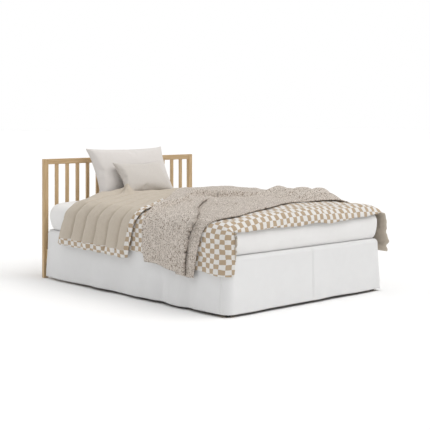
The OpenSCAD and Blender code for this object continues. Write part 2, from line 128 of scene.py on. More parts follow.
@dataclass(frozen=True)
class Finish:
    """A surface finish. Subclasses say what colours it and what makes its relief."""

    name: str

    def material(self) -> bpy.types.Material:
        """Makes the finish's material, the first time it is asked for.

        Returns:
            The material.
        """
        found = bpy.data.materials.get(self.name)
        if found:
            return found
        made = bpy.data.materials.new(self.name)
        made.use_nodes = True
        made.node_tree.nodes.clear()
        shader = self.shade(made.node_tree)
        add_node(made.node_tree, "OutputMaterial", {"Surface": shader.outputs[0]})
        return made

    def shade(self, tree: Tree) -> Node:
        """Fills the material's tree.

        Args:
            tree: the material's node tree.

        Returns:
            The node whose first output is the surface.
        """
        raise NotImplementedError

    @staticmethod
    def pattern(tree: Tree, space: Space, size: tuple[float, float, float]) -> Socket:
        """Coordinates counted in repeats of a pattern.

        Args:
            tree: the material's node tree.
            space: the coordinates to start from, which are in metres.
            size: the pattern's repeat along each axis, in metres.

        Returns:
            A vector socket in which one unit is one repeat.
        """
        source = add_node(tree, "TexCoord").outputs[space.value]
        scale = tuple(1 / s for s in size)
        return add_node(tree, "Mapping", {"Vector": source, "Scale": scale}).outputs[0]

    @staticmethod
    def noise(tree: Tree, at: Socket, detail: float, roughness: float = 0.5,
              distortion: float = 0.0) -> Node:
        """Adds a noise with about one bump to a repeat.

        Args:
            tree: the material's node tree.
            at: coordinates in repeats.
            detail: how many finer layers it has.
            roughness: strength of each layer against the one before.
            distortion: how far the bumps are pushed about.

        Returns:
            The node, whose outputs are a height and a colour.
        """
        return add_node(tree, "TexNoise", {
            "Vector": at, "Scale": 1.0, "Detail": detail, "Roughness": roughness,
            "Distortion": distortion})

    @staticmethod
    def bump(tree: Tree, height: Socket, strength: float, depth_mm: float) -> Socket:
        """Turns a height into a normal.

        Args:
            tree: the material's node tree.
            height: the relief's height, from 0 to 1.
            strength: share of the relief that shows.
            depth_mm: the relief's depth.

        Returns:
            The normal socket.
        """
        return add_node(tree, "Bump", {
            "Height": height, "Strength": strength, "Distance": depth_mm / 1000}).outputs[0]

    @staticmethod
    def remap(tree: Tree, value: Socket, low: tuple[float, float],
              high: tuple[float, float]) -> Socket:
        """Maps a range of values onto another.

        Args:
            tree: the node tree.
            value: the value to map.
            low: the range's lower end, and what it becomes.
            high: the range's upper end, and what it becomes.

        Returns:
            The mapped value.
        """
        return add_node(tree, "MapRange", {
            "Value": value, "From Min": low[0], "To Min": low[1], "From Max": high[0],
            "To Max": high[1]}).outputs[0]

    @staticmethod
    def mix(tree: Tree, share: Any, low: Any, high: Any, blend: str = "MIX") -> Socket:
        """Mixes two colours.

        Args:
            tree: the material's node tree.
            share: share of the second colour, as a value or a socket.
            low: the first colour, as a value or a socket.
            high: the second colour.
            blend: the kind of mix.

        Returns:
            The mixed colour.
        """
        node = add_node(tree, "Mix", data_type="RGBA", blend_type=blend)
        for number, value in ((0, share), (6, low), (7, high)):
            if isinstance(value, Socket):
                tree.links.new(value, node.inputs[number])
            else:
                node.inputs[number].default_value = value
        return node.outputs[2]


@dataclass(frozen=True)
class SawnWood(Finish):
    """Oak, pine or beech, planed and sanded: long grain streaks, fine pores, a low soft gloss."""

    pale: str
    dark: str
    along: int
    streak_mm: float = 5.0
    pore_mm: float = 0.9
    band_mm: float = 42.0
    roughness: float = 0.55

    def shade(self, tree: Tree) -> Node:
        """Grain stretched along the board, growth bands across it, pores as short dark ticks.

        Args:
            tree: the material's node tree.

        Returns:
            The surface's node.
        """
        def stretched(width_mm: float, length: float) -> Socket:
            """Coordinates for marks of a width, and as many times longer along the board."""
            size = [width_mm / 1000] * 3
            size[self.along] *= length
            return self.pattern(tree, Space.PLACE, (size[0], size[1], size[2]))

        streaks = self.noise(tree, stretched(self.streak_mm, 34), 6.0, 0.6, 0.8)
        bands = self.noise(tree, stretched(self.band_mm, 12), 3.0, distortion=1.5)
        pores = self.noise(tree, stretched(self.pore_mm, 14), 2.0)
        spread = add_node(tree, "ValToRGB", {"Fac": streaks.outputs[0]})
        spread.color_ramp.elements[0].position = 0.32
        spread.color_ramp.elements[0].color = linear(self.dark)
        spread.color_ramp.elements[1].position = 0.66
        spread.color_ramp.elements[1].color = linear(self.pale)
        warm = self.mix(tree, bands.outputs[0], (0.86, 0.83, 0.79, 1), (1.08, 1.08, 1.07, 1))
        colour = self.mix(tree, 1.0, spread.outputs[0], warm, "MULTIPLY")
        ticks = self.remap(tree, pores.outputs[0], (0.60, 1.0), (0.70, 0.82))
        colour = self.mix(tree, 1.0, colour, ticks, "MULTIPLY")
        return add_node(tree, "BsdfPrincipled", {
            "Base Color": colour, "Roughness": self.roughness, "IOR": 1.5,
            "Normal": self.bump(tree, pores.outputs[0], 0.25, 0.4)})


@dataclass(frozen=True)
class Weave(Finish):
    """Plain woven cotton or linen: matt, faintly mottled, with a fuzz that catches grazing light."""

    colour: str
    shade_colour: str
    thread_mm: float = 1.2
    slub_mm: float = 14.0
    relief_mm: float = 0.25
    space: Space = Space.PLACE
    sheen: float = 0.15

    def tint(self, tree: Tree) -> Socket:
        """The cloth's colour, mottled where the yarn is thicker or thinner.

        Args:
            tree: the material's node tree.

        Returns:
            The colour's socket.
        """
        at = self.pattern(tree, self.space, (self.slub_mm / 1000,) * 3)
        slubs = self.noise(tree, at, 5.0, 0.65)
        return self.mix(tree, slubs.outputs[0], linear(self.shade_colour), linear(self.colour))

    def relief(self, tree: Tree) -> Socket:
        """Height of the threads, over one under one.

        Args:
            tree: the material's node tree.

        Returns:
            The height's socket.
        """
        # Real threads lie about 0.3 mm apart. They are drawn three to six times coarser to show.
        at = self.pattern(tree, self.space, (self.thread_mm / 1000,) * 3)
        warp, weft = (add_node(tree, "TexWave", {"Vector": at, "Scale": 0.5, "Distortion": 0.4},
                               bands_direction=way).outputs[1] for way in "XY")
        return add_node(tree, "Math", {0: warp, 1: weft}, operation="MULTIPLY").outputs[0]

    def shade(self, tree: Tree) -> Node:
        """Matt cloth with a thread relief and a light sheen."""
        return add_node(tree, "BsdfPrincipled", {
            "Base Color": self.tint(tree), "Roughness": 0.92, "IOR": 1.45,
            "Specular IOR Level": 0.2, "Sheen Weight": self.sheen, "Sheen Roughness": 0.5,
            "Normal": self.bump(tree, self.relief(tree), 0.5, self.relief_mm)})


@dataclass(frozen=True)
class CheckedWeave(Weave):
    """Washed cotton woven in squares of two colours, with softened edges between them."""

    square: str = "#a5937c"
    check_x_mm: float = 29.0
    check_y_mm: float = 38.0

    def tint(self, tree: Tree) -> Socket:
        """Squares of the second colour on the first, wobbling a little as washed cloth does.

        Args:
            tree: the material's node tree.

        Returns:
            The colour's socket.
        """
        size = (self.check_x_mm / 1000, self.check_y_mm / 1000, 1.0)
        at = self.pattern(tree, Space.CLOTH, size)
        wobble = self.noise(tree, self.pattern(tree, Space.CLOTH, (0.06, 0.06, 0.06)), 1.5)
        centred = add_node(tree, "VectorMath", {0: wobble.outputs[1], 1: (0.5, 0.5, 0.5)},
                           operation="SUBTRACT")
        pushed = add_node(tree, "VectorMath", {
            0: centred.outputs[0], 1: (0.5, 0.5, 0.0), 2: (0.0, 0.0, 0.5)},
            operation="MULTIPLY_ADD")
        moved = add_node(tree, "VectorMath", {0: at, 1: pushed.outputs[0]}, operation="ADD")
        base = Weave.tint(self, tree)
        mottled = self.mix(tree, 0.25, linear(self.square), base, "MULTIPLY")
        return add_node(tree, "TexChecker", {
            "Vector": moved.outputs[0], "Color1": mottled, "Color2": base,
            "Scale": 1.0}).outputs[0]


@dataclass(frozen=True)
class HeatherKnit(Finish):
    """Chunky wool-mix knit: rows of loops in cream and sand yarn with dark brown flecks."""

    pale: str = "#dcd3ca"
    mid: str = "#bcb0a3"
    dark: str = "#786a5d"
    loop_mm: float = 5.4

    def shade(self, tree: Tree) -> Node:
        """Each loop is a rounded cell with its own tone, in slanting rows of darker yarn, with
        painted shade in the gaps between loops.

        Args:
            tree: the material's node tree.

        Returns:
            The surface's node.
        """
        loop = self.loop_mm / 1000
        rows = self.pattern(tree, Space.CLOTH, (loop, loop * 0.85, loop))
        loops = add_node(tree, "TexVoronoi", {"Vector": rows, "Scale": 1.0, "Randomness": 0.35},
                         feature="F1")
        own = add_node(tree, "SeparateColor", {0: loops.outputs["Color"]}).outputs[0]
        slant = add_node(tree, "TexWave", {"Vector": rows, "Scale": 0.16, "Distortion": 1.5},
                         bands_direction="DIAGONAL")
        tone = self.mix(tree, 0.14, own, slant.outputs[1])
        ramp = add_node(tree, "ValToRGB", {"Fac": tone})
        stops = ramp.color_ramp.elements
        stops[0].position, stops[0].color = 0.06, linear(self.dark)
        stops[1].position, stops[1].color = 0.62, linear(self.pale)
        middle = stops.new(0.30)
        middle.color = linear(self.mid)
        # Painted shade: the colour darkens toward each loop's edge, where the gaps between loops lie
        # in shade.
        painted_gap_shade = self.remap(tree, loops.outputs["Distance"], (0.25, 1.0), (0.75, 0.78))
        colour = self.mix(tree, 1.0, ramp.outputs[0], painted_gap_shade, "MULTIPLY")
        raised = add_node(tree, "Math", {0: 1.0, 1: loops.outputs["Distance"]},
                          operation="SUBTRACT")
        return add_node(tree, "BsdfPrincipled", {
            "Base Color": colour, "Roughness": 0.95, "IOR": 1.45, "Specular IOR Level": 0.15,
            "Sheen Weight": 0.12, "Sheen Roughness": 0.6,
            "Normal": self.bump(tree, raised.outputs[0], 0.8, 2.5)})


@dataclass(frozen=True)
class PlatedSteel(Finish):
    """Zinc-plated or coated steel: a grey or yellow metal with fine scuffs in its gloss."""

    colour: str
    roughness: float = 0.38
    metallic: float = 1.0

    def shade(self, tree: Tree) -> Node:
        """Cloudy plating: the tint and the gloss both drift over a few millimetres.

        Args:
            tree: the material's node tree.

        Returns:
            The surface's node.
        """
        cloud = self.noise(tree, self.pattern(tree, Space.PLACE, (0.006, 0.006, 0.006)), 4.0)
        base = linear(self.colour)
        worn = tuple(c * 0.78 for c in base[:3]) + (1.0,)
        gloss = self.remap(tree, cloud.outputs[0], (0.0, self.roughness - 0.1),
                           (1.0, self.roughness + 0.15))
        return add_node(tree, "BsdfPrincipled", {
            "Base Color": self.mix(tree, cloud.outputs[0], worn, base),
            "Metallic": self.metallic, "Roughness": gloss,
            "Normal": self.bump(tree, cloud.outputs[0], 0.2, 0.2)})


@dataclass(frozen=True)
class MouldedNylon(Finish):
    """Black moulded nylon foot on a zinc-plated stem: satin below the collar, metal above."""

    pad_top: float
    nylon: str = "#202023"
    zinc: str = "#a7a9ad"

    def shade(self, tree: Tree) -> Node:
        """The change from nylon to zinc lies at the top of the pad.

        Args:
            tree: the material's node tree.

        Returns:
            The surface's node.
        """
        place = add_node(tree, "TexCoord").outputs["Object"]
        height = add_node(tree, "SeparateXYZ", {0: place}).outputs[2]
        above = add_node(tree, "Math", {0: height, 1: self.pad_top}, operation="GREATER_THAN")
        grain = self.noise(tree, self.pattern(tree, Space.PLACE, (0.001, 0.001, 0.001)), 2.0)
        return add_node(tree, "BsdfPrincipled", {
            "Base Color": self.mix(tree, above.outputs[0], linear(self.nylon),
                                   linear(self.zinc)),
            "Metallic": above.outputs[0], "Roughness": 0.42,
            "Normal": self.bump(tree, grain.outputs[0], 0.3, 0.2)})


# Oiled oak has straight grain and open pores: a pale honey tone in long soft streaks.
OAK = {axis: SawnWood(f"oiled_oak_{'xyz'[axis]}", "#d2b892", "#b4956c", axis)
       for axis in (0, 1, 2)}
# Sanded pine is yellower, with broader growth bands and hardly any gloss.
PINE = {axis: SawnWood(f"sanded_pine_{'xyz'[axis]}", "#dfcaa2", "#c6a877", axis,
                       streak_mm=8.0) for axis in (0, 1, 2)}
# Turned beech has a close, even grain: a dowel looks nearly plain.
BEECH = SawnWood("turned_beech", "#d9bf97", "#c3a273", 1, streak_mm=3.0)
# Powder coat hides the steel's shine: a dull dark grey that is half as metallic.
BRACKET = PlatedSteel("powder_coated_steel", "#63666b", 0.55, 0.4)
# Zinc plating is cloudy and satin: bluish grey on bolts, straw yellow where passivated.
ZINC = PlatedSteel("zinc_plated_steel", "#b4b7bb")
YELLOW_ZINC = PlatedSteel("yellow_zinc_steel", "#c9b26a")
# Ticking is a thick close weave: matt and off-white, with its threads just in sight.
TICKING = Weave("foundation_ticking", "#e2dfda", "#cfcbc5", 1.6)
# Pressed skirt cotton and percale are fine and even: near white, with no mottle to speak of.
SKIRT = Weave("pressed_cotton_skirt", "#e3e3e3", "#dddddd", 1.0, 60.0)
SHEET = Weave("cotton_percale_sheet", "#eae9e8", "#e4e3e2", 0.8, 50.0)
# Washed cotton has faded unevenly: a chalky beige, and soft-edged squares on the checked side.
CHANNEL = Weave("washed_cotton_beige", "#c6bcae", "#b9ae9f", 1.4, 18.0, space=Space.CLOTH)
CHECKED = CheckedWeave("washed_cotton_checked", "#e6e4e1", "#d6d3cf", 1.4, 14.0,
                       space=Space.CLOTH, square="#b8a48b")
# Heathered wool yarn mixes cream, sand and brown fibres: a flecked grey-beige, never flat.
KNIT = HeatherKnit("heather_knit")
# Brushed cotton has a short nap: soft, pale grey in shade. Slub linen is warmer and rougher.
PILLOW = Weave("brushed_cotton_pillow", "#dcd8d5", "#d4cfcb", 1.2, 30.0)
CUSHION = Weave("slub_linen_cushion", "#d2cdc7", "#c8c2bc", 1.8, 12.0, relief_mm=0.4)


# ---------------------------------------------------------------------------- mesh tools


def soft_noise(s: Grid, t: Grid, size: float, seed: int) -> Grid:
    """Smooth random relief from -1 to 1.

    Args:
        s: first coordinate, in metres.
        t: second coordinate, in metres.
        size: width of one bump, in metres.
        seed: which of the reliefs.

    Returns:
        Heights, in the shape of s and t.
    """
    knots = np.random.default_rng(seed).uniform(-1, 1, (64, 64))
    a, b = s / size + 31.7, t / size + 17.3
    i, j = np.floor(a).astype(int), np.floor(b).astype(int)
    u, v = a - i, b - j
    u, v = u * u * (3 - 2 * u), v * v * (3 - 2 * v)
    i, j, i1, j1 = i % 64, j % 64, (i + 1) % 64, (j + 1) % 64
    low = knots[i, j] * (1 - u) + knots[i1, j] * u
    high = knots[i, j1] * (1 - u) + knots[i1, j1] * u
    return low * (1 - v) + high * v


def ripples(s: Grid, t: Grid, *layers: tuple[float, float, int]) -> Grid:
    """Adds up layers of soft noise.

    Args:
        s: first coordinate, in metres.
        t: second coordinate, in metres.
        layers: height, width of one bump and seed of each layer.

    Returns:
        Heights, in the shape of s and t.
    """
    return sum(height * soft_noise(s, t, size, seed) for height, size, seed in layers)


def smooth(value: Grid, low: float, high: float) -> Grid:
    """Rises smoothly from 0 at low to 1 at high."""
    x = np.clip((value - low) / (high - low), 0, 1)
    return x * x * (3 - 2 * x)


def curve_through(at: Grid, knots: list[tuple[float, float]], blur: float = 0.06) -> Grid:
    """A smooth curve through a few points.

    Args:
        at: where to read the curve.
        knots: its points, by rising first value.
        blur: how far the corners are rounded.

    Returns:
        The curve's values at those places.
    """
    xs, ys = np.array(knots).T
    offsets = np.linspace(-blur, blur, 9)
    return np.mean([np.interp(at + d, xs, ys) for d in offsets], axis=0)


def cloth_grid(rows: int, columns: int, first: float) -> tuple[Grid, Grid]:
    """Evenly spaced cloth coordinates.

    Args:
        rows: number of rows, down the cloth.
        columns: number of columns, across it.
        first: value at the left edge. The right edge has 1.

    Returns:
        How far down each point lies, from 0 to 1, and how far across.
    """
    across, down = np.meshgrid(np.linspace(first, 1, columns), np.linspace(0, 1, rows))
    return down, across


def bound_edge(rim: Grid, full: float, edge: float = 0.003, width: float = 0.016) -> Grid:
    """Thickness of a quilt that is stitched flat at its edges.

    Args:
        rim: distance to the nearest edge.
        full: thickness inside.
        edge: thickness at the edge.
        width: how far in the full thickness starts.

    Returns:
        Thickness at each point.
    """
    return edge + (full - edge) * smooth(rim, 0, width)


def normals_of(points: Grid) -> Grid:
    """Unit normals of a grid of points.

    Args:
        points: the grid, whose rows run down and columns right as seen from outside.

    Returns:
        One normal for each point.
    """
    du = np.gradient(points, axis=1)
    dv = np.gradient(points, axis=0)
    n = np.cross(dv, du)
    return n / np.maximum(np.linalg.norm(n, axis=2, keepdims=True), 1e-9)


def new_mesh(name: str, points: Grid, faces: list[tuple[int, ...]], uv: Grid | None = None
             ) -> Piece:
    """Makes a smooth-shaded mesh object.

    Args:
        name: the piece's name.
        points: one row per vertex.
        faces: vertex numbers of each face.
        uv: cloth coordinates of each vertex, in metres.

    Returns:
        The new object, linked to the scene.
    """
    mesh = bpy.data.meshes.new(name)
    mesh.from_pydata([tuple(p) for p in points.tolist()], [], faces)
    mesh.polygons.foreach_set("use_smooth", [True] * len(mesh.polygons))
    if uv is not None:
        corners = np.zeros(len(mesh.loops), np.int32)
        mesh.loops.foreach_get("vertex_index", corners)
        layer = mesh.uv_layers.new(name="cloth")
        layer.data.foreach_set("uv", uv[corners].astype(np.float32).ravel())
    mesh.validate()
    mesh.update()
    made = bpy.data.objects.new(name, mesh)
    bpy.context.scene.collection.objects.link(made)
    return made


def cloth_shell(name: str, face: Grid, thickness: Grid, uv: Grid, finishes: list[Finish],
                band: Grid | None = None) -> Piece:
    """A closed sheet with a face side, a reverse side and an edge all round.

    Args:
        name: the piece's name.
        face: grid of points of the face side.
        thickness: cloth thickness at each point, in metres.
        uv: grid of cloth coordinates.
        finishes: finish of the face, of the reverse and, where band is given, of the border.
        band: grid of True where the face has the border's finish.

    Returns:
        The new object.
    """
    rows, columns = face.shape[:2]
    reverse = face - normals_of(face) * thickness[..., None]
    points = np.concatenate([face.reshape(-1, 3), reverse.reshape(-1, 3)])
    number = np.arange(rows * columns).reshape(rows, columns)
    quads = np.stack([number[:-1, :-1], number[1:, :-1], number[1:, 1:], number[:-1, 1:]], -1)
    quads = quads.reshape(-1, 4)
    under = quads[:, ::-1] + rows * columns
    rim = np.concatenate([number[0, :], number[1:, -1], number[-1, -2::-1], number[-2:0:-1, 0]])
    after = np.roll(rim, -1)
    edge = np.stack([rim, after, after + rows * columns, rim + rows * columns], -1)
    faces = [tuple(f) for f in np.concatenate([quads, under, edge]).tolist()]
    made = new_mesh(name, points, faces, np.tile(uv.reshape(-1, 2), (2, 1)))
    for finish in finishes:
        made.data.materials.append(finish.material())
    side = np.zeros(len(faces), np.int32)
    side[len(quads): len(quads) + len(under)] = 1
    if band is not None:
        inside = band[:-1, :-1].reshape(-1)
        side[: len(quads)][inside] = 2
        side[len(quads) + len(under):] = 2
    made.data.polygons.foreach_set("material_index", side)
    return made


def declare(piece: Piece, slot: str, *nodes: str) -> Piece:
    """Puts a soft piece on the bed's body and in place of its CAD solids.

    Args:
        piece: the soft piece.
        slot: its material slot in the record. It is not used.
        nodes: the CAD nodes it replaces.

    Returns:
        The same piece.
    """
    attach(piece, BODY)
    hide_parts(*nodes)
    LOG.info("%s: %d vertices", piece.name, len(piece.data.vertices))
    return piece


# ---------------------------------------------------------------------------- hard parts


class HardParts:
    """The CAD nodes that keep their shape: wood, steel and nylon."""

    pad_height = 0.0082
    grain_x = ("headboard_top_rail", "headboard_bottom_rail", "foot_rail", "head_cross_rail")
    grain_y = ("side_rail_left", "side_rail_right", "ledger_left", "ledger_right", "centre_beam")

    def finish_of(self, node: str, slot: str) -> Finish:
        """The finish of one node.

        Args:
            node: the node's name.
            slot: its material slot in the record.

        Returns:
            A finish whose grain runs along the board.
        """
        low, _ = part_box(node)
        along_x = node in self.grain_x or node.startswith("bed_slat")
        axis = 0 if along_x else 1 if node in self.grain_y else 2
        by_slot = {
            "oak": OAK[axis], "pine": PINE[axis], "beech": BEECH, "bracket_steel": BRACKET,
            "bolt_steel": ZINC, "screw_steel": YELLOW_ZINC,
            "leveller_nylon": MouldedNylon("nylon_foot", low.z + self.pad_height),
        }
        return by_slot.get(slot, TICKING)

    def dress(self) -> None:
        """Gives every CAD node its finish."""
        slots = {row["node"]: row["material_slot"] for row in frame["record"]["subparts"]}
        for name, node in frame["nodes"].items():
            material = self.finish_of(name, slots[name]).material()
            for place in node.material_slots:
                place.material = material
        LOG.info("%d CAD nodes dressed", len(frame["nodes"]))


# ---------------------------------------------------------------------------- padded blocks


@dataclass
class PaddedBlock:
    """An upholstered block with rounded plan corners: the foundation or the mattress.

    A level is one ring of points all the way round. Insets and drops are in metres.
    """

    node: str
    finish: Finish
    slot: str
    corners: tuple[float, float, float, float]
    lower_roll: float
    lower_height: float
    upper_roll: float
    edge_drop: float = 0.0
    crown: float = 0.0
    bulge: float = 0.0
    slack: float = 0.001
    fill: float = 0.9
    seed: int = 1
    arc_steps: int = 8
    edge_steps: int = 26
    roll_steps: int = 7
    side_steps: int = 8
    under_insets: tuple[float, ...] = (0.45, 0.25, 0.12)
    top_insets: tuple[float, ...] = (0.02, 0.05, 0.09, 0.14, 0.2, 0.28, 0.36, 0.44, 0.52)

    def outline(self, inset: float) -> Grid:
        """The block's plan outline, with the same points at each level.

        Args:
            inset: how far it is pulled in.

        Returns:
            One row of x and y for each point.
        """
        low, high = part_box(self.node)
        points = []
        for turn, (sx, sy) in enumerate(((1, -1), (1, 1), (-1, 1), (-1, -1))):
            r = max(self.corners[turn] - inset, 0.004)
            cx = (high.x if sx > 0 else low.x) - sx * (inset + r)
            cy = (high.y if sy > 0 else low.y) - sy * (inset + r)
            for k in range(self.arc_steps + 1):
                angle = math.pi / 2 * (turn - 1 + k / self.arc_steps)
                points.append((cx + r * math.cos(angle), cy + r * math.sin(angle)))
        ring = []
        for index, here in enumerate(points):
            after = points[(index + 1) % len(points)]
            corner_ends = index % (self.arc_steps + 1) == self.arc_steps
            steps = self.edge_steps if corner_ends else 1
            for k in range(steps):
                ring.append([here[i] + (after[i] - here[i]) * k / steps for i in (0, 1)])
        return np.array(ring)

    def levels(self) -> list[tuple[float, float]]:
        """The block's levels, from the middle of the underside to that of the top.

        Returns:
            Inset and height of each.
        """
        low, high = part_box(self.node)
        bottom, top = low.z, high.z - self.edge_drop
        rolls = [math.pi / 2 * k / self.roll_steps for k in range(self.roll_steps + 1)]
        made = [(d, bottom) for d in self.under_insets]
        made += [(self.lower_roll * (1 - math.sin(a)),
                  bottom + self.lower_height * (1 - math.cos(a))) for a in rolls]
        side = bottom + self.lower_height
        straight = top - self.upper_roll - side
        made += [(0.0, side + straight * k / self.side_steps) for k in range(1, self.side_steps)]
        made += [(self.upper_roll * (1 - math.cos(a)), top - self.upper_roll * (1 - math.sin(a)))
                 for a in rolls]
        made += [(self.upper_roll + d, top) for d in self.top_insets]
        return made

    def level(self, inset: float, z: float) -> Grid:
        """Points of one level, with the block's crown, bulged sides and slight unevenness.

        Args:
            inset: how far the level is pulled in.
            z: its height.

        Returns:
            One row of x, y and z for each point.
        """
        low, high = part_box(self.node)
        middle = (low + high) / 2
        half_x, half_y = (high.x - low.x) / 2, (high.y - low.y) / 2
        plan = self.outline(inset)
        height = np.full(len(plan), z)
        share = (z - low.z) / (high.z - self.edge_drop - low.z)
        out = self.bulge * math.sin(math.pi * min(max(share, 0), 1))
        plan = plan * (1 + out / half_x)
        if inset > self.upper_roll - 1e-6 and share > 0.99:
            across = 1 - ((plan[:, 0] - middle.x) / half_x) ** 2
            along = 1 - ((plan[:, 1] - middle.y) / half_y) ** 8
            height = height + self.crown * across * along
        ripple = self.slack * soft_noise(plan[:, 0] + height, plan[:, 1] - height, 0.11, self.seed)
        return np.column_stack([plan * (1 + ripple / half_x)[:, None], height])

    def build(self) -> Piece:
        """Makes the block from its levels and closes it below and above.

        Returns:
            The new object.
        """
        rings = [self.level(inset, z) for inset, z in self.levels()]
        around = len(rings[0])
        number = np.arange(len(rings) * around).reshape(len(rings), around)
        after = np.roll(number, -1, axis=1)
        quads = np.stack([number[:-1], after[:-1], after[1:], number[1:]], -1).reshape(-1, 4)
        faces = [tuple(f) for f in quads.tolist()]
        faces += [tuple(number[0][::-1].tolist()), tuple(number[-1].tolist())]
        made = new_mesh(self.node + "_soft", np.concatenate(rings), faces)
        made.data.materials.append(self.finish.material())
        declare(made, self.slot, self.node)
        return made


# ---------------------------------------------------------------------------- the bed's form


@dataclass(frozen=True)
class Roll:
    """A cross-section as a length of cloth follows it: crowned, then rolled over, then upright."""

    half: float
    roll: float
    crown: float
    top: float

    def table(self, lift: float) -> tuple[Grid, Grid, Grid, Grid]:
        """Follows the section at every millimetre of cloth.

        Args:
            lift: height of the cloth off the form.

        Returns:
            Arc length, reach from the middle, height and slope angle.
        """
        step = 0.001
        s = np.arange(0, self.half + 1.2, step)
        flat = self.half - self.roll * 0.95
        lead = math.atan(2 * self.crown / flat)
        angle = np.arctan(2 * self.crown * np.minimum(s, flat) / flat**2)
        turning = lead + (s - flat) / (self.roll + lift)
        angle = np.where(s > flat, np.minimum(turning, math.pi / 2), angle)
        reach = np.concatenate([[0], np.cumsum(np.cos(angle[:-1]) * step)])
        drop = np.concatenate([[0], np.cumsum(np.sin(angle[:-1]) * step)])
        reach = reach * (self.half + lift) / reach[-1]
        return s, reach, self.top + self.crown + lift - drop, angle

    def length_to(self, height: Any, lift: float) -> Any:
        """Arc length from the middle down to a height.

        Args:
            height: one height or an array of them.
            lift: height of the cloth off the form.

        Returns:
            A length for each height.
        """
        s, _, z, _ = self.table(lift)
        return np.interp(-height, -z, s)


@dataclass(frozen=True)
class BedForm:
    """What the bedding lies on: the mattress's top, rolled over its two sides and its foot."""

    across: Roll
    along: Roll

    def lay(self, s: Grid, t: Grid, lift: float, corner_y: float, wrap: float = 0.001) -> Grid:
        """Points of a cloth that lies on the bed.

        Args:
            s: arc length across the bed from its middle, to the right.
            t: arc length along the bed from its middle, to the foot.
            lift: height of the cloth off the mattress.
            corner_y: how far to the foot the side drops reach.
            wrap: radius in plan by which the left drop goes round the corner at the foot.

        Returns:
            The points, one per s and t.
        """
        table_s, reach, height, slope = self.across.table(lift)
        a = np.abs(s)
        x = np.sign(s) * np.interp(a, table_s, reach)
        z = np.interp(a, table_s, height)
        upright = smooth(np.interp(a, table_s, slope), 0.35, 1.4)
        table_t, reach_t, height_t, _ = self.along.table(lift)
        forward = np.where(t > 0, np.interp(t, table_t, reach_t), t)
        sunk = np.where(t > 0, np.interp(t, table_t, height_t), height_t[0]) - height_t[0]
        radius = np.where(s < 0, wrap, 0.001)
        turn = np.clip((t - corner_y + radius) / radius, 0, 1.4)
        straight = np.minimum(t, corner_y - radius + radius * np.sin(turn))
        x = x - np.sign(s) * upright * radius * (1 - np.cos(turn))
        y = -(forward * (1 - upright) + straight * upright)
        full = smooth(s, 0.30, 0.62)
        x = self.held_in(x + 0.020 * full)
        return np.stack([x, y, z + sunk * (1 - upright) + 0.022 * full], -1)

    def hanging(self, s: Grid, full: float, start: float = 0.02) -> Grid:
        """How freely a side drop hangs.

        Args:
            s: arc length across the bed.
            full: length past the bed's edge at which it hangs freely.
            start: length past the edge at which it starts to.

        Returns:
            0 on the bed to 1 where it hangs freely.
        """
        return smooth(np.abs(s), self.across.half + start, self.across.half + full)

    @staticmethod
    def swing(t: Grid) -> Grid:
        """How far side drops wave out and in along the bed. All layers wave together."""
        return 0.007 * np.sin(t * 2 * math.pi / 0.21 + 0.8)

    @staticmethod
    def held_in(x: Grid, reach: float = 0.753, soft: float = 0.022) -> Grid:
        """Keeps cloth from swinging out too far on the right.

        Args:
            x: places across the bed.
            reach: how far out they may lie.
            soft: how long before it they start to ease in.

        Returns:
            The places, none past the reach.
        """
        past = np.maximum(x - (reach - soft), 0)
        return np.where(past > 0, reach - soft * np.exp(-past / soft), x)


def bed_form() -> BedForm:
    """The form that the mattress's CAD box gives, with the edges a soft mattress has.

    Returns:
        The form.
    """
    low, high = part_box("mattress")
    across = Roll(half=high.x, roll=0.085, crown=0.040, top=high.z - 0.030)
    along = Roll(half=-low.y + 0.004, roll=0.070, crown=0.006, top=high.z)
    return BedForm(across, along)


# ---------------------------------------------------------------------------- bedding


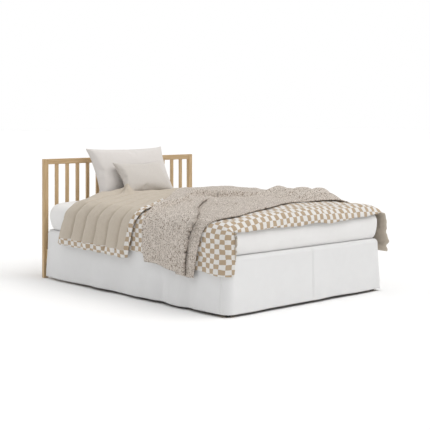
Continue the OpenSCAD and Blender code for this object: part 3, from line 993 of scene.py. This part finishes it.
@dataclass
class CheckerQuilt:
    """The lower quilt: checked face, beige reverse, turned over the foot and both sides.

    Hems are heights above the floor. The left hem has one at its head end and one at the foot.
    """

    form: BedForm
    lift: float = 0.016
    thickness: float = 0.011
    head_y: float = 0.12
    foot_hem: float = 0.484
    left_hem: tuple[float, float] = (0.300, 0.234)
    wrap: float = 0.075
    flap_length: float = 0.26
    flap_out: float = 0.018
    flap_forward: float = 0.012
    flutter: float = 0.007
    corner_out: float = 0.016
    columns: int = 300
    rows: int = 170

    def foot_end(self, s: Grid, corner: float) -> Grid:
        """Where the quilt ends along the bed.

        Args:
            s: arc length across the bed.
            corner: how far to the foot the side drops reach.

        Returns:
            Lengths to the foot's hem, or on a side drop to its corner.
        """
        arc, _, height, slope = self.form.across.table(self.lift)
        a, half = np.abs(s), self.form.across.half
        on_side = smooth(np.interp(a, arc, slope), 0.45, 1.35)
        sunk = np.interp(a, arc, height)
        uneven = ripples(s, s * 0, (0.008, 0.13, 6), (0.004, 0.05, 7))
        hem_z = np.minimum(self.foot_hem + uneven, sunk - 0.055)
        t_foot = self.form.along.length_to(hem_z + height[0] - sunk, self.lift)
        hang = smooth(a, half, half + 0.36)
        t_side = np.where(s < 0, corner + (0.95 - 0.80 * hang) * self.wrap, corner)
        return t_foot * (1 - on_side) + t_side * on_side

    def flare(self, face: Grid, s: Grid, t: Grid, corner: float) -> None:
        """Swings the drops in and out, most of all at the far corner of the foot.

        Args:
            face: the quilt's points, which it moves.
            s: arc length across the bed.
            t: arc length along the bed.
            corner: how far to the foot the side drops reach.
        """
        a = np.abs(s)
        drop = self.form.hanging(s, 0.33)
        at_far_foot = smooth(t, corner - self.flap_length, corner) * (s > 0)
        flap = drop * at_far_foot
        wave = np.sin(a * 2 * math.pi / 0.11 + 1.0) + 0.5 * np.sin(a * 2 * math.pi / 0.047)
        face[..., 0] += (self.flap_out + self.flutter * wave) * flap
        face[..., 0] += np.sign(s) * (self.form.swing(t) + 0.004) * drop
        face[..., 0] += self.corner_out * smooth(a, 0.60, 0.70) * at_far_foot
        face[..., 0] = self.form.held_in(face[..., 0])
        face[..., 1] -= self.flap_forward * (1 + wave) * flap

    def build(self) -> Piece:
        """Makes the quilt with its puckered squares, soft corners and flared far drop.

        Returns:
            The new object.
        """
        v, u = cloth_grid(self.rows, self.columns, -1)
        corner = -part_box("checker_quilt")[0].y + 0.004
        hem_head, hem_foot = (self.form.across.length_to(z, self.lift) for z in self.left_hem)
        s_hem = hem_head + (hem_foot - hem_head) * smooth(v, 0.2, 1.0)
        s = u * s_hem
        length = self.foot_end(s, corner) + self.head_y
        t = -self.head_y + v * length
        face = self.form.lay(s, t, self.lift, corner, self.wrap)
        pucker = ripples(s, t, (0.0032, 0.034, 3), (0.0022, 0.017, 4), (0.005, 0.12, 5))
        face += normals_of(face) * pucker[..., None]
        self.flare(face, s, t, corner)
        rim = np.minimum(np.minimum(v, 1 - v) * length, (1 - np.abs(u)) * s_hem)
        made = cloth_shell("checker_quilt_cloth", face, bound_edge(rim, self.thickness),
                           np.stack([s, t], -1), [CHECKED, CHANNEL])
        declare(made, "checker_cotton", "checker_quilt")
        return made


# Edges of the upper quilt and of the throw: length across the bed, then length to the foot.
CHANNEL_HEAD = [(-1.0, -0.748), (-0.86, -0.70), (-0.74, -0.655), (-0.62, -0.60), (-0.45, -0.66),
                (-0.2, -0.68), (0.6, -0.66), (1.0, -0.71)]
CHANNEL_FOOT = [(-1.0, 0.050), (-0.80, 0.105), (-0.66, 0.150), (-0.56, 0.125), (-0.45, 0.06),
                (-0.30, -0.06), (-0.1, -0.10), (0.6, -0.05), (1.0, 0.02)]
THROW_HEAD = [(-1.1, 0.27), (-0.86, 0.215), (-0.70, 0.205), (-0.60, 0.195), (-0.41, 0.085),
              (-0.29, -0.02), (0.0, -0.31), (0.2, -0.44), (0.7, -0.50), (1.1, -0.50)]
THROW_FOOT = [(-1.1, 0.70), (-0.86, 0.73), (-0.72, 0.775), (-0.62, 0.845), (-0.50, 0.885),
              (-0.17, 0.81), (0.14, 0.675), (0.41, 0.625), (0.60, 0.66), (0.70, 0.75), (1.1, 0.76)]
THROW_FOLD = [(-1.1, 0.59), (-0.86, 0.595), (-0.78, 0.61), (-0.72, 0.635), (-0.66, 0.645),
              (-0.60, 0.59), (-0.50, 0.45), (-0.27, 0.25), (-0.08, 0.12), (0.2, 0.0)]


@dataclass
class ChannelQuilt:
    """The upper quilt: beige, stitched in channels across the bed, with a checked border."""

    form: BedForm
    lift: float = 0.035
    thickness: float = 0.013
    length: float = 0.84
    hem: tuple[float, float] = (0.272, 0.254)
    channels: int = 6
    puff: float = 0.018
    border: float = 0.046
    peak_at: tuple[float, float] = (-0.235, -0.575)
    peak_height: float = 0.056
    loose_height: float = 0.012
    columns: int = 280
    rows: int = 210

    def relief(self, s: Grid, t: Grid, v: Grid, channel: Grid, rim: Grid) -> Grid:
        """Height of the puffed channels, their stitch lines and the creases.

        Args:
            s: arc length across the bed.
            t: length along the bed.
            v: share of the way from the head edge to the foot edge.
            channel: 0 on a stitch line, 1 in the middle of a channel.
            rim: distance to the nearest edge.

        Returns:
            Heights, in the shape of s and t.
        """
        stitch = np.exp(-((channel / 0.16) ** 2))
        puffed = (self.puff * (channel ** 0.42 - 0.62) - 0.004 * stitch) * smooth(rim, 0, 0.05)
        creases = ripples(s, t * 0.4, (0.0030, 0.05, 11))
        creases += ripples(s, t, (0.0050, 0.16, 12), (0.0012, 0.018, 13))
        at_foot = 1 - smooth((1 - v) * self.length, 0, 0.06)
        return puffed + creases * (1 - 0.6 * at_foot) - 0.004 * at_foot

    def rumple(self, s: Grid, t: Grid, v: Grid) -> Grid:
        """Height of the crumpled head edge and of the peak pushed up in front of the cushion.

        Args:
            s: arc length across the bed.
            t: length along the bed.
            v: share of the way from the head edge to the foot edge.

        Returns:
            Heights, in the shape of s and t.
        """
        to_side, to_foot = s - self.peak_at[0], t - self.peak_at[1]
        peak = np.exp(-(((to_side + 0.6 * to_foot) / 0.040) ** 2) - (to_foot / 0.060) ** 2)
        peak = peak * (1 + 0.35 * soft_noise(s, t, 0.028, 15))
        loose = (1 - smooth(v, 0.0, 0.2)) * smooth(0.62 + s, 0.0, 0.2) * smooth(-s, -0.1, 0.2)
        loose = loose * (1 + soft_noise(s, t, 0.07, 14))
        return self.peak_height * peak + self.loose_height * loose

    def build(self) -> Piece:
        """Makes the quilt with puffed channels, a scalloped hem and a slanting foot edge.

        Returns:
            The new object.
        """
        v, u = cloth_grid(self.rows, self.columns, -1)
        hem_head, hem_foot = (self.form.across.length_to(z, self.lift) for z in self.hem)
        channel = np.abs(np.sin(math.pi * self.channels * v))
        s_hem = hem_head + (hem_foot - hem_head) * v + 0.006 * channel
        s = u * s_hem
        head, foot = curve_through(s, CHANNEL_HEAD), curve_through(s, CHANNEL_FOOT)
        t = head + (foot - head) * v
        face = self.form.lay(s, t, self.lift, 0.9)
        to_side = (1 - np.abs(u)) * s_hem
        rim = np.minimum(np.minimum(v, 1 - v) * self.length, to_side)
        face += normals_of(face) * self.relief(s, t, v, channel, rim)[..., None]
        outward = np.sign(s) * self.form.hanging(s, 0.33, 0.0) * (0.004 + 0.005 * channel)
        face[..., 0] = self.form.held_in(face[..., 0] + outward)
        face[..., 2] += self.rumple(s, t, v)
        band = (to_side < self.border) | ((1 - v) * self.length < self.border * 0.9)
        made = cloth_shell("channel_quilt_cloth", face, bound_edge(rim, self.thickness),
                           np.stack([s, t], -1), [CHANNEL, CHECKED, CHECKED], band)
        declare(made, "channel_cotton", "channel_quilt")
        return made


@dataclass(frozen=True)
class Crease:
    """A ridge, or with a negative height a groove, along a line on the bed."""

    start: tuple[float, float]
    end: tuple[float, float]
    head_width: float
    foot_width: float
    height: float

    def height_at(self, s: Grid, t: Grid) -> Grid:
        """The height it adds.

        Args:
            s: arc length across the bed.
            t: length along the bed.

        Returns:
            Heights, in the shape of s and t.
        """
        ds, dt = self.end[0] - self.start[0], self.end[1] - self.start[1]
        length = math.hypot(ds, dt)
        along = ((s - self.start[0]) * ds + (t - self.start[1]) * dt) / length**2
        aside = ((s - self.start[0]) * dt - (t - self.start[1]) * ds) / length
        ends = smooth(along, -0.12, 0.2) * (1 - smooth(along, 0.8, 1.12))
        width = np.where(aside > 0, self.head_width, self.foot_width)
        return self.height * ends * np.exp(-((aside / width) ** 2))


CREASES = (
    Crease((-0.16, 0.020), (0.40, 0.120), 0.060, 0.010, 0.030),
    Crease((-0.13, 0.045), (0.38, 0.140), 0.006, 0.014, -0.012),
    Crease((-0.27, 0.34), (-0.24, 0.62), 0.030, 0.030, 0.012),
    Crease((0.30, 0.14), (0.72, 0.10), 0.030, 0.030, 0.022),
    Crease((0.34, 0.34), (0.72, 0.34), 0.034, 0.034, 0.022),
    Crease((0.36, 0.50), (0.72, 0.49), 0.030, 0.030, 0.026),
    Crease((0.34, 0.545), (0.60, 0.590), 0.008, 0.006, -0.020),
    Crease((-0.58, 0.34), (-0.10, 0.02), 0.030, 0.030, 0.006),
    Crease((-0.50, 0.70), (0.20, 0.40), 0.040, 0.040, 0.009),
    Crease((0.10, 0.36), (0.60, 0.20), 0.035, 0.035, 0.010),
)


@dataclass
class Throw:
    """The knitted throw: narrow and pleated where it hangs at the left, wide across the bed.

    The pleat is a fold of the throw over itself. Its rows run under, back and over again.
    """

    form: BedForm
    lift: float = 0.025
    thickness: float = 0.007
    near_hem: tuple[float, float] = (0.250, 0.204)
    far_hem: float = 0.44
    pleat: float = 0.050
    pleat_height: float = 0.016
    over_quilt: float = 0.034
    edge_lift: float = 0.006
    bunch_height: float = 0.050
    columns: int = 300
    rows: int = 190

    def folded(self, s: Grid, v: Grid) -> tuple[Grid, Grid, Grid]:
        """Lays the rows along the bed, with the pleat in them.

        Args:
            s: arc length across the bed.
            v: share of the way through the cloth, from the head edge to the foot edge.

        Returns:
            Length along the bed, relief off the bed, and -1 where the pleat turns the cloth over
            or 1 elsewhere.
        """
        head, foot = curve_through(s, THROW_HEAD), curve_through(s, THROW_FOOT, 0.04)
        fold, width = curve_through(s, THROW_FOLD, 0.03), foot - head
        pleated = 1 - smooth(s, -0.26, -0.06)
        tuck = (0.0001 + self.pleat * pleated) / width
        at_fold = np.clip((fold - head) / width, 0.1, 0.93)
        low_v, high_v = at_fold - 0.02, at_fold + 0.06
        under = (at_fold + tuck) * v / low_v
        back = at_fold + tuck - 2 * tuck * (v - low_v) / (high_v - low_v)
        over = at_fold - tuck + (1 - at_fold + tuck) * (v - high_v) / (1 - high_v)
        m = np.where(v < low_v, under, np.where(v < high_v, back, over))
        t = head + width * m
        to_foot = (1 - m) * width
        relief = self.pleat_height * pleated * (1 - smooth((v - low_v) / (high_v - low_v), 0, 1))
        relief *= smooth(m, at_fold - 4 * tuck, at_fold - 1.5 * tuck)
        relief += self.edge_lift * (1 - smooth(to_foot, 0.0, 0.03))
        near = s < -0.3
        relief += self.over_quilt * (1 - smooth(t, -0.03 + 0.2 * near, 0.12 + 0.1 * near))
        uneven = ripples(s, t, (0.005, 0.13, 21), (0.003, 0.05, 22))
        relief += smooth(to_foot, -0.01, 0.07) * (self.creases(s, t) + uneven)
        turned = (v >= low_v) & (v < high_v) & (pleated > 0.01)
        return t, relief, np.where(turned, -1.0, 1.0)

    def creases(self, s: Grid, t: Grid) -> Grid:
        """Height that the bunched far end and the throw's long creases add."""
        bunched = smooth(s, 0.34, 0.58) * smooth(t, -0.02, 0.16) * (1 - smooth(t, 0.54, 0.70))
        return self.bunch_height * bunched + sum(crease.height_at(s, t) for crease in CREASES)

    def build(self) -> Piece:
        """Makes the throw with its pleat, creases and the bunched far end.

        Returns:
            The new object.
        """
        v, w = cloth_grid(self.rows, self.columns, 0)
        near_head, near_foot = (self.form.across.length_to(z, self.lift) for z in self.near_hem)
        far = self.form.across.length_to(self.far_hem, self.lift)
        s_near = -(near_head + (near_foot - near_head) * smooth(v, 0.1, 0.95))
        s = s_near + (far - s_near) * w
        t, relief, facing = self.folded(s, v)
        face = self.form.lay(s, t, self.lift, 0.99)
        face += normals_of(face) * (relief * facing)[..., None]
        outward = np.sign(s) * self.form.hanging(s, 0.36) * (0.013 + self.form.swing(t))
        face[..., 0] = self.form.held_in(face[..., 0] + outward)
        rows_apart = np.linalg.norm(np.diff(face, axis=0), axis=2)
        down = np.concatenate([np.zeros((1, self.columns)), np.cumsum(rows_apart, axis=0)])
        made = cloth_shell("throw_knit_cloth", face, np.full(v.shape, self.thickness),
                           np.stack([s, down], -1), [KNIT, KNIT])
        declare(made, "throw_knit", "throw")
        return made


# ---------------------------------------------------------------------------- skirt


@dataclass
class Skirt:
    """The valance: a left, a foot and a right drop that hang from a deck under the mattress.

    Lengths along it are counted from the middle of the foot, left negative.
    """

    left_corner: float
    right_corner: float
    top_roll: float = 0.028
    hem_drop: float = 0.004
    pleat_at: float = 0.03
    pleat_width: float = 0.08
    pleat_height: float = 0.0035
    hem_stitch: float = 0.025
    stand_off: float = 0.016
    thickness: float = 0.0022
    deck_thickness: float = 0.0011
    cell: float = 0.008
    rows: int = 40

    def path(self, d: Grid, share: Grid) -> tuple[Grid, Grid]:
        """Plan points and outward directions along the skirt.

        Args:
            d: lengths along the skirt.
            share: height as a share of the drop, which the right corner's sharpness follows.

        Returns:
            Points and unit outward directions.
        """
        low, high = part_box("skirt_foot")
        r = np.where(d < 0, self.left_corner, self.right_corner * (0.3 + 0.7 * share))
        run = high.x - r
        a, side = np.abs(d), np.where(d < 0, -1.0, 1.0)
        turn = np.clip((a - run) / r, 0, math.pi / 2)
        x = np.minimum(a, run) + r * np.sin(turn)
        y = low.y + r * (1 - np.cos(turn)) + np.maximum(a - run - r * math.pi / 2, 0)
        outward = np.stack([side * np.sin(turn), -np.cos(turn)], -1)
        return np.stack([side * x, y], -1), outward

    def ends(self) -> tuple[float, float]:
        """Heights of the hem and of the top, which lies just over the deck."""
        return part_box("skirt_foot")[0].z - self.hem_drop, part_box("skirt_deck")[1].z + 0.0005

    def relief(self, d: Grid, z: Grid) -> Grid:
        """How far the cloth stands out: its folds, the centre pleat and the hem's stitch line.

        Args:
            d: lengths along the skirt.
            z: heights.

        Returns:
            Distances, in the shape of d and z.
        """
        bottom, top = self.ends()
        foot_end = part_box("skirt_foot")[1].x
        low = 1 - smooth(z, bottom + 0.02, top - 0.05)
        on_foot = 1 - smooth(np.abs(d), foot_end - 0.12, foot_end + 0.2)
        folds = ripples(d, low * 0.03, (0.0130, 0.085, 31)) + self.stand_off
        folds += ripples(d, low * 0.05, (0.0100, 0.19, 32))
        folds = folds * (0.2 + 0.8 * low) * (1 - 0.78 * on_foot)
        at_head = smooth(-d, self.to_head() - 0.05, self.to_head())
        lip = self.pleat_at + 0.004
        crease = np.exp(-((d - self.pleat_at) / 0.004) ** 2)
        pleat = smooth(d, self.pleat_at, lip) * (1 - smooth(d, lip, self.pleat_at + self.pleat_width))
        stitch = np.exp(-((z - bottom - self.hem_stitch) / 0.0025) ** 2)
        return (folds + 0.003 * (1 + at_head) * low + self.pleat_height * (pleat - crease)
                - 0.0009 * stitch)

    def drop(self, name: str, node: str, start: float, end: float) -> Piece:
        """Makes one drop of the skirt.

        Args:
            name: the piece's name.
            node: the CAD node it replaces.
            start: length along the skirt where it starts.
            end: length where it ends.

        Returns:
            The new object.
        """
        bottom, top = self.ends()
        rolled = np.linspace(1.5, 0.12, 9)
        heights = np.concatenate([top - self.top_roll * (1 - np.sin(rolled)),
                                  np.linspace(top - self.top_roll, bottom, self.rows)])
        insets = np.concatenate([self.top_roll * (1 - np.cos(rolled)), np.zeros(self.rows)])
        columns = max(int(abs(end - start) / self.cell), 12)
        d, z = np.meshgrid(np.linspace(start, end, columns), heights)
        plan, outward = self.path(d, (z - bottom) / (top - bottom))
        plan = plan + outward * (self.relief(d, z) - insets[:, None])[..., None]
        sway = 0.003 * soft_noise(d, d * 0, 0.19, 33) * (1 - smooth(z, bottom, bottom + 0.08))
        face = np.concatenate([plan, (z + sway)[..., None]], -1)
        made = cloth_shell(name, face, np.full(z.shape, self.thickness), np.stack([d, z], -1),
                           [SKIRT, SKIRT])
        declare(made, "skirt_cotton", node)
        return made

    def deck(self) -> Piece:
        """Makes the deck cloth between foundation and mattress.

        Returns:
            The new object.
        """
        low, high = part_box("skirt_deck")
        inset, radius = self.top_roll * 0.9, self.left_corner
        x, y = np.meshgrid(np.linspace(low.x + inset, high.x - inset, 60),
                           np.linspace(high.y - 0.004, low.y + inset, 80))
        cx, cy = np.sign(x) * (high.x - radius), low.y + radius
        off = np.hypot(np.abs(x) - np.abs(cx), cy - y)
        pull = np.where(off > radius - inset, (radius - inset) / np.maximum(off, 1e-6), 1)
        at_corner = (np.abs(x) > np.abs(cx)) & (y < cy)
        x = np.where(at_corner, cx + (x - cx) * pull, x)
        y = np.where(at_corner, cy + (y - cy) * pull, y)
        face = np.stack([x, y, np.full_like(x, high.z - 0.0002)], -1)
        made = cloth_shell("skirt_deck_cloth", face, np.full(x.shape, self.deck_thickness),
                           np.stack([x, y], -1), [SKIRT, SKIRT])
        declare(made, "skirt_cotton", "skirt_deck")
        return made

    @staticmethod
    def round_corner(radius: float) -> float:
        """Length from the middle of the foot to the end of a corner of that radius."""
        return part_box("skirt_foot")[1].x - radius + radius * math.pi / 2

    def to_head(self) -> float:
        """Length from the middle of the foot to the head end."""
        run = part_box("skirt_left")[1].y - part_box("skirt_foot")[0].y - self.left_corner
        return self.round_corner(self.left_corner) + run

    def build(self) -> None:
        """Makes the three drops and the deck."""
        left, right = self.round_corner(self.left_corner), self.round_corner(self.right_corner)
        self.drop("skirt_foot_drop", "skirt_foot", -left, right)
        self.drop("skirt_left_drop", "skirt_left", -self.to_head(), -left)
        self.drop("skirt_right_drop", "skirt_right", right, self.to_head())
        self.deck()


# ---------------------------------------------------------------------------- pillows


@dataclass
class StuffedCover:
    """A pillow or cushion: two panels sewn all round, blown up with cloth pressure.

    The pressure moves no point further than most_moved, which keeps the seams from curling.
    """

    name: str
    node: str
    slot: str
    finish: Finish
    width: float
    height: float
    depth: float
    place: tuple[float, float, float]
    lean: float
    pressure: float = 4.0
    most_moved: float = 0.018
    fill: float = 0.6
    seam_round: float = 0.003
    seed: int = 41
    cells: int = 46
    sag: float = 0.07
    frames: int = 26

    def flat_cover(self) -> Piece:
        """The two panels laid flat and joined at their edges.

        Returns:
            The new object.
        """
        nx, ny = self.cells, max(int(self.cells * self.height / self.width), 12)
        x, y = np.meshgrid(np.linspace(-0.5, 0.5, nx + 1), np.linspace(-0.5, 0.5, ny + 1))
        pulled = 1 - self.sag * (1 - (2 * np.abs(y)) ** 2) * (2 * np.abs(x)) ** 4
        dipped = 1 - self.sag * (1 - (2 * np.abs(x)) ** 2) * (2 * np.abs(y)) ** 4
        belly = (1 - (2 * x) ** 2) * (1 - (2 * y) ** 2)
        xs, ys = x * pulled * self.width, y * dipped * self.height
        rise = self.seam_round + 0.47 * self.depth * belly ** 0.62
        rise += 0.004 * soft_noise(xs, ys, 0.09, self.seed) * belly ** 0.3
        rim = (np.abs(x) > 0.4999) | (np.abs(y) > 0.4999)
        rise = np.where(rim, 0, rise)
        front = np.stack([xs, ys, rise], -1).reshape(-1, 3)
        count = len(front)
        number = np.arange(count).reshape(ny + 1, nx + 1)
        behind = np.where(rim, number, 0)
        inner = np.argwhere(~rim)
        behind[inner[:, 0], inner[:, 1]] = count + np.arange(len(inner))
        back = front[number[inner[:, 0], inner[:, 1]]] * np.array([1, 1, -1])
        faces = []
        for grid, flip in ((number, False), (behind, True)):
            quads = np.stack([grid[:-1, :-1], grid[:-1, 1:], grid[1:, 1:], grid[1:, :-1]], -1)
            quads = quads.reshape(-1, 4)
            faces += [tuple(f[::-1] if flip else f) for f in quads.tolist()]
        return new_mesh(self.name, np.concatenate([front, back]), faces)

    def blow_up(self, cover: Piece) -> None:
        """Runs the cloth pressure and keeps the swollen shape.

        Args:
            cover: the flat cover, which it swells.
        """
        cloth = cover.modifiers.new("cloth", "CLOTH")
        cotton = {"use_pressure": True, "uniform_pressure_force": self.pressure, "quality": 6,
                  "mass": 0.3, "tension_stiffness": 12, "compression_stiffness": 12,
                  "bending_stiffness": 0.35}
        for key, value in cotton.items():
            setattr(cloth.settings, key, value)
        cloth.settings.effector_weights.gravity = 0
        cloth.point_cache.frame_start, cloth.point_cache.frame_end = 1, self.frames
        scene = bpy.context.scene
        for number in range(1, self.frames + 1):
            scene.frame_set(number)
        shown = cover.evaluated_get(bpy.context.evaluated_depsgraph_get())
        swollen = np.zeros(len(shown.data.vertices) * 3, np.float32)
        shown.data.vertices.foreach_get("co", swollen)
        cover.modifiers.remove(cloth)
        scene.frame_set(1)
        start = np.zeros_like(swollen)
        cover.data.vertices.foreach_get("co", start)
        moved = (swollen - start).reshape(-1, 3)
        far = np.linalg.norm(moved, axis=1, keepdims=True)
        moved *= np.minimum(far, self.most_moved) / np.maximum(far, 1e-6)
        cover.data.vertices.foreach_set("co", start + moved.astype(np.float32).ravel())

    def build(self) -> Piece:
        """Makes the cover, fills it, sizes it, and leans it in its place.

        Returns:
            The new object.
        """
        cover = self.flat_cover()
        self.blow_up(cover)
        points = np.zeros(len(cover.data.vertices) * 3, np.float32)
        cover.data.vertices.foreach_get("co", points)
        points = points.reshape(-1, 3)
        low, high = points.min(0), points.max(0)
        size = np.array([self.width, self.height, self.depth])
        points = (points - (low + high) / 2) * size / (high - low)
        leant = Euler((math.radians(90 - self.lean), 0, 0)).to_matrix()
        points = points @ np.array(leant).T + np.array(self.place)
        cover.data.vertices.foreach_set("co", points.astype(np.float32).ravel())
        cover.data.materials.append(self.finish.material())
        rounder = cover.modifiers.new("soften", "SUBSURF")
        rounder.levels = rounder.render_levels = 1
        declare(cover, self.slot, self.node)
        return cover


# ---------------------------------------------------------------------------- studio


@dataclass
class Studio:
    """A pale floor, a soft key light from the right and a level camera at eye height."""

    eye: tuple[float, float, float]
    heading: float
    lens: float
    drop: float

    def build(self) -> None:
        """Makes the floor, the lights and the camera."""
        bpy.context.scene.view_settings.view_transform = "Standard"
        self.floor()
        self.room()
        self.sun("key", towards=(0.45, -0.52, 0.75), strength=1.25, size=0.9)
        self.sun("fill", towards=(-0.50, 0.75, 0.42), strength=0.34, size=0.35)
        self.camera()

    @staticmethod
    def floor(reach: float = 60.0, gap: float = 0.0005) -> None:
        """Lays a pale matt floor just under the bed.

        Args:
            reach: how far it goes each way.
            gap: how far it lies below the bed's lowest point.
        """
        corners = [[x * reach, y * reach, CAD_BOX[0].z - gap]
                   for x, y in ((-1, -1), (1, -1), (1, 1), (-1, 1))]
        floor = new_mesh("floor", np.array(corners), [(0, 1, 2, 3)])
        paper = bpy.data.materials.new("floor_paper")
        paper.use_nodes = True
        shader = paper.node_tree.nodes["Principled BSDF"]
        shader.inputs["Base Color"].default_value = (0.95, 0.95, 0.95, 1)
        shader.inputs["Roughness"].default_value = 0.9
        shader.inputs["Specular IOR Level"].default_value = 0.1
        floor.data.materials.append(paper)

    @staticmethod
    def room() -> None:
        """Lights the bed all round: bright low walls, dim above them, and a bright ceiling."""
        world = bpy.data.worlds.new("studio")
        bpy.context.scene.world = world
        world.use_nodes = True
        tree = world.node_tree
        towards = add_node(tree, "TexCoord").outputs["Generated"]
        height = add_node(tree, "SeparateXYZ", {0: towards}).outputs[2]
        wall = Finish.remap(tree, height, (0.15, 1.0), (0.24, 0.22))
        ceiling = Finish.remap(tree, height, (0.55, 0.0), (0.85, 1.05))
        glow = add_node(tree, "Math", {0: wall, 1: ceiling})
        tree.links.new(glow.outputs[0], tree.nodes["Background"].inputs["Strength"])
        tree.nodes["Background"].inputs["Color"].default_value = (1.0, 1.0, 1.0, 1)

    def camera(self) -> None:
        """Makes the level camera, shifted down to take the bed in."""
        camera = bpy.data.cameras.new("camera")
        camera.lens, camera.sensor_width = self.lens, 36.0
        camera.shift_y = self.drop
        camera.clip_end = 200
        made = bpy.data.objects.new("camera", camera)
        made.location = self.eye
        made.rotation_euler = (math.radians(90), 0, math.radians(-self.heading))
        bpy.context.scene.collection.objects.link(made)
        bpy.context.scene.camera = made

    @staticmethod
    def sun(name: str, towards: tuple[float, float, float], strength: float, size: float) -> None:
        """Adds a broad distant light.

        Args:
            name: its name.
            towards: direction from the bed to the light.
            strength: its strength.
            size: angle it takes up, in radians.
        """
        light = bpy.data.lights.new(name, "SUN")
        light.energy, light.angle = strength, size
        light.color = (1.0, 0.985, 0.965)
        made = bpy.data.objects.new(name, light)
        made.rotation_euler = Vector(towards).to_track_quat("Z", "Y").to_euler()
        bpy.context.scene.collection.objects.link(made)


# ---------------------------------------------------------------------------- the bed


def main() -> None:
    """Builds the studio, dresses the hard parts and makes the soft ones."""
    logging.basicConfig(level=logging.INFO, format="%(name)s: %(message)s")
    Studio(eye=(-4.524, -5.122, 1.16), heading=42.0, lens=82.9, drop=-0.2312).build()
    HardParts().dress()
    PaddedBlock("foundation", TICKING, "ticking", corners=(0.03, 0.05, 0.05, 0.05),
                lower_roll=0.018, lower_height=0.018, upper_roll=0.026, slack=0.0008).build()
    PaddedBlock("mattress", SHEET, "sheet_cotton", corners=(0.03, 0.07, 0.075, 0.055),
                lower_roll=0.036, lower_height=0.10, upper_roll=0.078, edge_drop=0.034,
                crown=0.038, bulge=0.001, slack=0.002, seed=2).build()
    Skirt(left_corner=0.052, right_corner=0.034).build()
    form = bed_form()
    CheckerQuilt(form).build()
    ChannelQuilt(form).build()
    Throw(form).build()
    StuffedCover("pillow_cover", "pillow", "pillow_cotton", PILLOW, width=0.725, height=0.42,
                 depth=0.15, place=(-0.018, 0.815, 0.738), lean=27.0, cells=52).build()
    StuffedCover("cushion_cover", "cushion", "cushion_linen", CUSHION, width=0.45, height=0.29,
                 depth=0.11, place=(-0.03, 0.660, 0.706), lean=38.0, seed=43, cells=40).build()


if __name__ == "__main__":
    main()
